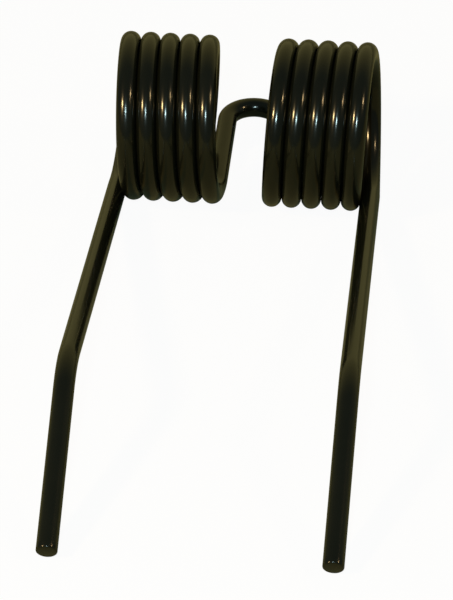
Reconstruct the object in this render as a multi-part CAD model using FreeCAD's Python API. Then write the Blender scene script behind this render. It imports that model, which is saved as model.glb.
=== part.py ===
import FreeCAD, Part
import math
import os

# Cultivator spring tine: one round steel wire, bent cold into a mirror-symmetric pair of sprung
# prongs. A U-shaped loop in the middle takes the clamp bolt. From it each half of the wire runs
# into a close-wound coil of five turns, leaves the coil as a long leg and bends down at a knee
# into a shorter straight tip, cut off square. The part lies on a flat floor, as it does when it
# is put down: the loop and both coils lie flat along the floor and the two tips come down to it.
#
# Millimetres and degrees. X runs along the coils, +Y from the tips to the loop, +Z up. The
# finished part has its origin on the floor, in the middle of its length and width.

# ---- driving sizes ----
wire_diameter = 10.0

# the U-shaped loop between the coils
loop_inside_width = 19.0     # between the loop's two legs, where the clamp sits
loop_reach = 82.5            # coil axis to the outside of the loop's bend

# the coils
coil_bore = 67.5             # inside diameter
whole_turns = 5              # turns in each coil, loop leg to upper leg
turn_gap = 0.25              # air between one turn and the next, along the coil
coil_lead_in_radius = 60.0   # bend that leads the straight wire into and out of the winding

# the prongs
leg_rise = 10.0              # slope of the upper leg, up from the floor
leg_splay = 0.28             # each upper leg leans outward by this angle
tip_toe_in = 0.6             # each lower leg leans inward by this angle
upper_leg_length = 225.0     # from the coil to the corner of the knee
lower_leg_length = 102.5     # from the corner of the knee to the cut end
knee_radius = 44.0           # centreline radius of the knee bend
tip_chamfer = 0.8            # burr taken off the rim of the cut end

# ---- sizes that follow ----
wire_radius = wire_diameter / 2
loop_radius = (loop_inside_width + wire_diameter) / 2
coil_radius = (coil_bore + wire_diameter) / 2
pitch = wire_diameter + turn_gap
helix_angle = math.degrees(math.atan2(pitch, 2 * math.pi * coil_radius))
full_turn = 360.0
quarter_turn = full_turn / 4
wound_turns = whole_turns + leg_rise / full_turn
floor_z = -coil_radius - wire_radius


def heading(slope, lean):
    """Unit vector that runs from the loop towards the tips, climbs by slope and leans outward."""
    along = math.cos(math.radians(lean))
    return FreeCAD.Vector(
        math.sin(math.radians(lean)),
        -along * math.cos(math.radians(slope)),
        along * math.sin(math.radians(slope)),
    )


def knee_drop(knee_height):
    """Slope at which the lower leg runs down so that the rim of its cut end meets the floor."""
    rim_run = lower_leg_length - tip_chamfer
    reach = math.hypot(rim_run, wire_radius)
    rim_angle = math.degrees(math.atan2(wire_radius, rim_run))
    return math.degrees(math.asin(knee_height / reach)) - rim_angle


def bend(start, direction, next_direction, radius):
    """Arc that turns the wire from one direction to the next, from its start point."""
    turn = direction.getAngle(next_direction)
    inward = (next_direction - direction * math.cos(turn)).normalize()
    centre = start + inward * radius
    middle = centre - inward * (radius * math.cos(turn / 2)) + direction * (radius * math.sin(turn / 2))
    end = centre - inward * (radius * math.cos(turn)) + direction * (radius * math.sin(turn))
    return Part.Arc(start, middle, end).toShape(), end


def straight(start, end):
    """Straight stretch of the wire's centreline."""
    return Part.LineSegment(start, end).toShape()


def coil_centreline(start):
    """Helix about the coil axis from the bottom of the coil to where the upper leg leaves it."""
    left_handed = True
    taper = 0
    helix = Part.makeLongHelix(pitch, pitch * wound_turns, coil_radius, taper, left_handed)
    helix.rotate(FreeCAD.Vector(0, 0, 0), FreeCAD.Vector(0, 1, 0), quarter_turn)
    helix.translate(FreeCAD.Vector(start.x, 0, 0))
    angle = math.radians(full_turn * wound_turns)
    end = FreeCAD.Vector(
        start.x + pitch * wound_turns,
        -coil_radius * math.sin(angle),
        -coil_radius * math.cos(angle),
    )
    return helix.Edges, end


def half_centreline():
    """Edges of the wire's centreline from the middle of the loop to the cut end, and its end point."""
    sideways = FreeCAD.Vector(1, 0, 0)
    backward = heading(0, 0)
    loop_middle = FreeCAD.Vector(0, loop_reach - wire_radius, -coil_radius)
    loop_bend, loop_leg_start = bend(loop_middle, sideways, backward, loop_radius)

    # the loop leg runs straight to the bend that leads it into the winding
    into_coil = heading(0, helix_angle)
    lead_in_run = coil_lead_in_radius * math.sin(math.radians(helix_angle))
    loop_leg_end = FreeCAD.Vector(loop_leg_start.x, lead_in_run, -coil_radius)
    lead_in, coil_start = bend(loop_leg_end, backward, into_coil, coil_lead_in_radius)

    turns, coil_end = coil_centreline(coil_start)
    upper = heading(leg_rise, leg_splay)
    lead_out, upper_leg_start = bend(coil_end, heading(leg_rise, helix_angle), upper, coil_lead_in_radius)

    knee = coil_end + upper * upper_leg_length
    drop = knee_drop(knee.z - floor_z)
    lower = heading(-drop, -tip_toe_in)
    knee_run = knee_radius * math.tan(upper.getAngle(lower) / 2)
    upper_leg_end = knee - upper * knee_run
    knee_bend, lower_leg_start = bend(upper_leg_end, upper, lower, knee_radius)
    cut_end = knee + lower * lower_leg_length

    edges = [loop_bend, straight(loop_leg_start, loop_leg_end), lead_in]
    edges += turns
    edges += [lead_out, straight(upper_leg_start, upper_leg_end), knee_bend]
    edges += [straight(lower_leg_start, cut_end)]
    return edges, cut_end


def swept_wire(edges):
    """Round bar along the centreline."""
    spine = Part.Wire(edges)
    start = edges[0].valueAt(edges[0].FirstParameter)
    along = edges[0].tangentAt(edges[0].FirstParameter)
    section = Part.Wire([Part.Circle(start, along, wire_radius).toShape()])
    solid, frenet = True, False
    return spine.makePipeShell([section], solid, frenet)


def cut_end_rim(half, cut_end):
    """The round edge of the tip's square-cut end, whose circle has its centre at the end point."""
    for edge in half.Edges:
        circle = edge.Curve
        if circle.TypeId == "Part::GeomCircle" and circle.Center.distanceToPoint(cut_end) < tip_chamfer:
            return edge
    raise ValueError("the cut end has no round rim")


def spring_tine():
    """The whole tine: one half, its mirror image, and the origin set on the floor between them."""
    edges, cut_end = half_centreline()
    half = swept_wire(edges)
    half = half.makeChamfer(tip_chamfer, [cut_end_rim(half, cut_end)])
    other_half = half.mirror(FreeCAD.Vector(0, 0, 0), FreeCAD.Vector(1, 0, 0))
    tine = half.fuse(other_half).removeSplitter().Solids[0]
    middle = tine.optimalBoundingBox().Center
    tine.translate(FreeCAD.Vector(0, -middle.y, -floor_z))
    return tine


os.makedirs("parts", exist_ok=True)
spring_tine().exportStep("parts/spring_tine.step")
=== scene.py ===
import math

import bpy
from mathutils import Matrix, Vector


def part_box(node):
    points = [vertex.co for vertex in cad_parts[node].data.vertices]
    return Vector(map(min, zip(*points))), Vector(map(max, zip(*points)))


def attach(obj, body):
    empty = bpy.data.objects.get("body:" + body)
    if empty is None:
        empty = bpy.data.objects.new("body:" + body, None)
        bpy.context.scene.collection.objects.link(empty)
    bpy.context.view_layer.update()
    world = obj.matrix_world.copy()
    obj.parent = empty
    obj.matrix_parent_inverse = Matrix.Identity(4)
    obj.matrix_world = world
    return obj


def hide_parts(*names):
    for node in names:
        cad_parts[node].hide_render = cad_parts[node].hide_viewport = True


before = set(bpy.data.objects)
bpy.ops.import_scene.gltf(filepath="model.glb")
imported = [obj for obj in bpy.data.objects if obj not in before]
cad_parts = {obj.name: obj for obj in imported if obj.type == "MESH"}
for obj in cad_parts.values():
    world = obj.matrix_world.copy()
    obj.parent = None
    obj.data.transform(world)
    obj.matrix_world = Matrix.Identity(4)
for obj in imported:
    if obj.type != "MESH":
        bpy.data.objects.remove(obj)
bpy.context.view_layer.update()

# ---- the tine ----
# One round spring-steel wire, bent cold: a clamp loop in the middle, a close-wound coil each side
# of it, then a long leg, a knee and a straight end that is cut off square and deburred. Each half
# mirrors the other. It is drawn as a centreline and given its round section, paint film included.
WIRE_RADIUS = 0.005
PAINT_FILM = 0.00012
LOOP_RADIUS = 0.0145
LOOP_REACH = 0.0825
COIL_RADIUS = 0.03875
PITCH = 0.01025
LEAD_RADIUS = 0.060
LEG_RISE = math.radians(10)
TURNS = 5 + 10 / 360
LEG_SPLAY = math.radians(0.28)
TIP_TOE_IN = math.radians(0.6)
UPPER_LEG = 0.225
LOWER_LEG = 0.1025
KNEE_RADIUS = 0.044
TIP_CHAMFER = 0.0008
POINTS_A_TURN = 96
ROUND_STEPS = 16
SHARP_RIM = math.radians(60)
SMOOTH_BELOW = math.radians(40)
HELIX_ANGLE = math.atan2(PITCH, 2 * math.pi * COIL_RADIUS)

low, high = (Vector(corner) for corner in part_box("spring_tine"))
loop_middle = Vector((0, high.y - WIRE_RADIUS, low.z + WIRE_RADIUS))
COIL_AXIS_Y = high.y - LOOP_REACH
COIL_AXIS_Z = low.z + WIRE_RADIUS + COIL_RADIUS


def heading(slope, lean):
    """Direction from the loop towards the tips that climbs by slope and leans outward."""
    along = math.cos(lean)
    return Vector((math.sin(lean), -along * math.cos(slope), along * math.sin(slope)))


def straight(route, direction, length, step):
    """Adds a straight run of the wire to the route."""
    start = route[-1]
    count = max(1, round(length / step))
    route += [start + direction * (length * k / count) for k in range(1, count + 1)]


def bend(route, direction, towards, radius, step):
    """Adds an arc that turns the wire from one direction to another."""
    start = route[-1]
    turn = direction.angle(towards)
    inward = (towards - direction * math.cos(turn)).normalized()
    centre = start + inward * radius
    count = max(2, round(turn * radius / step))
    for k in range(1, count + 1):
        angle = turn * k / count
        route.append(centre - inward * (radius * math.cos(angle)) + direction * (radius * math.sin(angle)))


def half_route():
    """Points of the centreline from the middle of the loop to the cut end, in the +X half."""
    fine, coarse = 0.0015, 0.004
    route = [loop_middle.copy()]
    backward = heading(0, 0)
    bend(route, Vector((1, 0, 0)), backward, LOOP_RADIUS, fine)
    lead_run = LEAD_RADIUS * math.sin(HELIX_ANGLE)
    straight(route, backward, route[-1].y - COIL_AXIS_Y - lead_run, coarse)
    bend(route, backward, heading(0, HELIX_ANGLE), LEAD_RADIUS, fine)

    start_x = route[-1].x
    count = round(TURNS * POINTS_A_TURN)
    for k in range(1, count + 1):
        angle = 2 * math.pi * TURNS * k / count
        route.append(Vector((
            start_x + PITCH * TURNS * k / count,
            COIL_AXIS_Y - COIL_RADIUS * math.sin(angle),
            COIL_AXIS_Z - COIL_RADIUS * math.cos(angle),
        )))

    upper = heading(LEG_RISE, LEG_SPLAY)
    knee = route[-1] + upper * UPPER_LEG
    rim_run = LOWER_LEG - TIP_CHAMFER
    drop = math.asin((knee.z - low.z) / math.hypot(rim_run, WIRE_RADIUS)) - math.atan2(WIRE_RADIUS, rim_run)
    lower = heading(-drop, -TIP_TOE_IN)
    bend(route, heading(LEG_RISE, HELIX_ANGLE), upper, LEAD_RADIUS, fine)
    knee_run = KNEE_RADIUS * math.tan(upper.angle(lower) / 2)
    straight(route, upper, (knee - route[-1]).length - knee_run, coarse)
    bend(route, upper, lower, KNEE_RADIUS, fine)
    straight(route, lower, LOWER_LEG - knee_run, coarse)
    return route


half = half_route()
whole = [Vector((-point.x, point.y, point.z)) for point in reversed(half[1:])] + half
bpy.ops.object.select_all(action="DESELECT")
bpy.ops.curve.primitive_nurbs_path_add()
tine = bpy.context.object
tine.name = "painted_tine"
tine.data.splines.clear()
spline = tine.data.splines.new("POLY")
spline.points.add(len(whole) - 1)
for point, place in zip(spline.points, whole):
    point.co = (*place, 1)
tine.data.bevel_depth = WIRE_RADIUS + PAINT_FILM
tine.data.bevel_resolution = ROUND_STEPS
bpy.ops.object.convert(target="MESH")

# the saw leaves a sharp rim, which is filed to a small chamfer before the tine is painted
bpy.ops.object.mode_set(mode="EDIT")
bpy.ops.mesh.select_all(action="SELECT")
bpy.ops.mesh.fill_holes(sides=0)
bpy.ops.mesh.normals_make_consistent(inside=False)
bpy.ops.mesh.select_all(action="DESELECT")
bpy.ops.mesh.edges_select_sharp(sharpness=SHARP_RIM)
bpy.ops.mesh.bevel(offset=TIP_CHAMFER, segments=3)
bpy.ops.object.mode_set(mode="OBJECT")
bpy.ops.object.shade_smooth_by_angle(angle=SMOOTH_BELOW)


class Value:
    """A shader socket that takes part in Python expressions by adding Math nodes."""

    def __init__(self, tree, socket):
        self.tree = tree
        self.socket = socket

    def math(self, operation, first, second):
        return node(self.tree, "ShaderNodeMath", {"operation": operation}, {0: first, 1: second})

    def __add__(self, other):
        return self.math("ADD", self, other)

    def __mul__(self, other):
        return self.math("MULTIPLY", self, other)

    def __lt__(self, other):
        return self.math("LESS_THAN", self, other)

    def __gt__(self, other):
        return self.math("GREATER_THAN", self, other)

    __radd__ = __add__
    __rmul__ = __mul__


def node(tree, kind, settings, inputs, output=0):
    """Adds one node, sets or links its inputs and gives back one output, or the node for None."""
    made = tree.nodes.new(kind)
    for name, value in settings.items():
        setattr(made, name, value)
    for name, value in inputs.items():
        if isinstance(value, Value):
            tree.links.new(value.socket, made.inputs[name])
        else:
            made.inputs[name].default_value = value
    return Value(tree, made.outputs[output]) if output is not None else made


ENAMEL_DARK = (0.0035, 0.0042, 0.0026, 1)
ENAMEL_LIGHT = (0.0076, 0.0079, 0.0044, 1)
NICK_GREY = (0.22, 0.21, 0.18, 1)
NICK_SIZE = 0.035
NICK_RARITY = 0.58
LEAST_ROUGH = 0.14
ROUGH_SPREAD = 0.10


def gloss_black_paint():
    """Dipped black enamel over steel: a dark olive cast, soft orange peel and a few small nicks."""
    material = bpy.data.materials.new("gloss_black_paint")
    material.use_nodes = True
    tree = material.node_tree
    shader = tree.nodes["Principled BSDF"]
    place = node(tree, "ShaderNodeTexCoord", {}, {}, "Object")
    cloud = node(tree, "ShaderNodeTexNoise", {}, {"Vector": place, "Scale": 34.0, "Detail": 4.0}, "Fac")
    enamel = node(tree, "ShaderNodeMix", {"data_type": "RGBA"},
                  {0: cloud, 6: ENAMEL_DARK, 7: ENAMEL_LIGHT}, 2)
    spots = node(tree, "ShaderNodeTexVoronoi", {}, {"Vector": place, "Scale": 70.0}, "Distance")
    patches = node(tree, "ShaderNodeTexNoise", {}, {"Vector": place, "Scale": 23.0}, "Fac")
    nicks = (spots < NICK_SIZE) * (patches > NICK_RARITY)
    tint = node(tree, "ShaderNodeMix", {"data_type": "RGBA"}, {0: nicks, 6: enamel, 7: NICK_GREY}, 2)
    tree.links.new(tint.socket, shader.inputs["Base Color"])
    peel = node(tree, "ShaderNodeTexNoise", {}, {"Vector": place, "Scale": 420.0, "Detail": 2.0}, "Fac")
    bump = node(tree, "ShaderNodeBump", {}, {"Height": peel, "Strength": 0.35, "Distance": 0.00006})
    tree.links.new(bump.socket, shader.inputs["Normal"])
    rough = LEAST_ROUGH + ROUGH_SPREAD * cloud
    tree.links.new(rough.socket, shader.inputs["Roughness"])
    shader.inputs["IOR"].default_value = 1.5
    return material


tine.data.materials.clear()
tine.data.materials.append(gloss_black_paint())
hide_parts("spring_tine")
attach(tine, "root")

# ---- the studio ----
# The tine lies on a plain white sheet in a dim room that is bright at the back. Three small lamps
# stand in front and to the sides, two warm and one cool, and draw the thin streaks on the wire.
SHEET_WHITE = (0.90, 0.90, 0.90, 1)
SHEET_SHADE = (0.32, 0.31, 0.17, 1)
SHEET_SHADOW = 0.05
ROOM_FRONT = (0.070, 0.095, 0.090, 1)
ROOM_BACK = (0.38, 0.34, 0.13, 1)
LAMP_DISTANCE = 2.0
coils_middle = Vector((0, COIL_AXIS_Y, COIL_AXIS_Z))

bpy.ops.mesh.primitive_plane_add(size=12, location=(0, 0, low.z - PAINT_FILM))
floor = bpy.context.object
floor.name = "studio_floor"


def white_sheet():
    """White to the camera, with a trace of the tine's shadow, and a softer grey to the paint."""
    material = bpy.data.materials.new("white_sheet")
    material.use_nodes = True
    tree = material.node_tree
    tree.nodes.clear()
    seen = node(tree, "ShaderNodeLightPath", {}, {}, "Is Camera Ray")
    tone = node(tree, "ShaderNodeMix", {"data_type": "RGBA"}, {0: seen, 6: SHEET_SHADE, 7: SHEET_WHITE}, 2)
    shade = node(tree, "ShaderNodeBsdfDiffuse", {}, {"Color": tone})
    white = node(tree, "ShaderNodeEmission", {}, {"Color": (1, 1, 1, 1), "Strength": 1.0})
    sheet = node(tree, "ShaderNodeMixShader", {}, {0: seen * (1 - SHEET_SHADOW), 1: shade, 2: white})
    node(tree, "ShaderNodeOutputMaterial", {}, {"Surface": sheet}, None)
    return material


floor.data.materials.append(white_sheet())


def studio_room():
    """A white room to the camera; to the paint, dim in front and overhead and bright behind."""
    world = bpy.data.worlds.new("studio_room")
    world.use_nodes = True
    tree = world.node_tree
    tree.nodes.clear()
    way = node(tree, "ShaderNodeTexCoord", {}, {}, "Generated")
    backward = node(tree, "ShaderNodeSeparateXYZ", {}, {0: way}, "Y")
    behind = node(tree, "ShaderNodeMapRange", {"interpolation_type": "SMOOTHSTEP"},
                  {"Value": backward, "From Min": 0.15, "From Max": 0.9})
    light = node(tree, "ShaderNodeMix", {"data_type": "RGBA"}, {0: behind, 6: ROOM_FRONT, 7: ROOM_BACK}, 2)
    seen = node(tree, "ShaderNodeLightPath", {}, {}, "Is Camera Ray")
    colour = node(tree, "ShaderNodeMix", {"data_type": "RGBA"}, {0: seen, 6: light, 7: (1, 1, 1, 1)}, 2)
    room = node(tree, "ShaderNodeBackground", {}, {"Color": colour, "Strength": 1.0})
    node(tree, "ShaderNodeOutputWorld", {}, {"Surface": room}, None)
    return world


bpy.context.scene.world = studio_room()


def lamp(name, side, height, size, power, colour):
    """A small square lamp at an angle to the side and a height, pointing at the coils."""
    side, height = math.radians(side), math.radians(height)
    away = Vector((math.sin(side) * math.cos(height), -math.cos(side) * math.cos(height), math.sin(height)))
    bpy.ops.object.light_add(type="AREA", location=coils_middle + away * LAMP_DISTANCE)
    made = bpy.context.object
    made.name = name
    made.data.size = size
    made.data.energy = power
    made.data.color = colour
    made.rotation_euler = away.to_track_quat("Z", "Y").to_euler()


lamp("warm_lamp", -49, 35, 0.20, 22, (1.0, 0.70, 0.32))
lamp("cool_lamp", -1, 37, 0.16, 14, (0.68, 0.96, 1.0))
lamp("side_lamp", 75, 39, 0.16, 6, (1.0, 0.68, 0.32))

# ---- the camera ----
# A long lens from the front, a little to the right, looking down at the tine on its sheet.
CAMERA_AIM = Vector((0.00337, -0.03999, 0.040))
CAMERA_DISTANCE = 1.9865
CAMERA_SIDE = math.radians(4.460)
CAMERA_HEIGHT = math.radians(34.060)
CAMERA_ROLL = math.radians(0.512)
back = Vector((
    math.sin(CAMERA_SIDE) * math.cos(CAMERA_HEIGHT),
    -math.cos(CAMERA_SIDE) * math.cos(CAMERA_HEIGHT),
    math.sin(CAMERA_HEIGHT),
))
bpy.ops.object.camera_add(location=CAMERA_AIM + back * CAMERA_DISTANCE)
camera = bpy.context.object
level = back.to_track_quat("Z", "Y").to_matrix()
roll = level @ Matrix.Rotation(CAMERA_ROLL, 3, "Z")
camera.rotation_euler = roll.to_euler()
camera.data.lens = 244.63
bpy.context.scene.camera = camera
bpy.context.scene.view_settings.view_transform = "Standard"
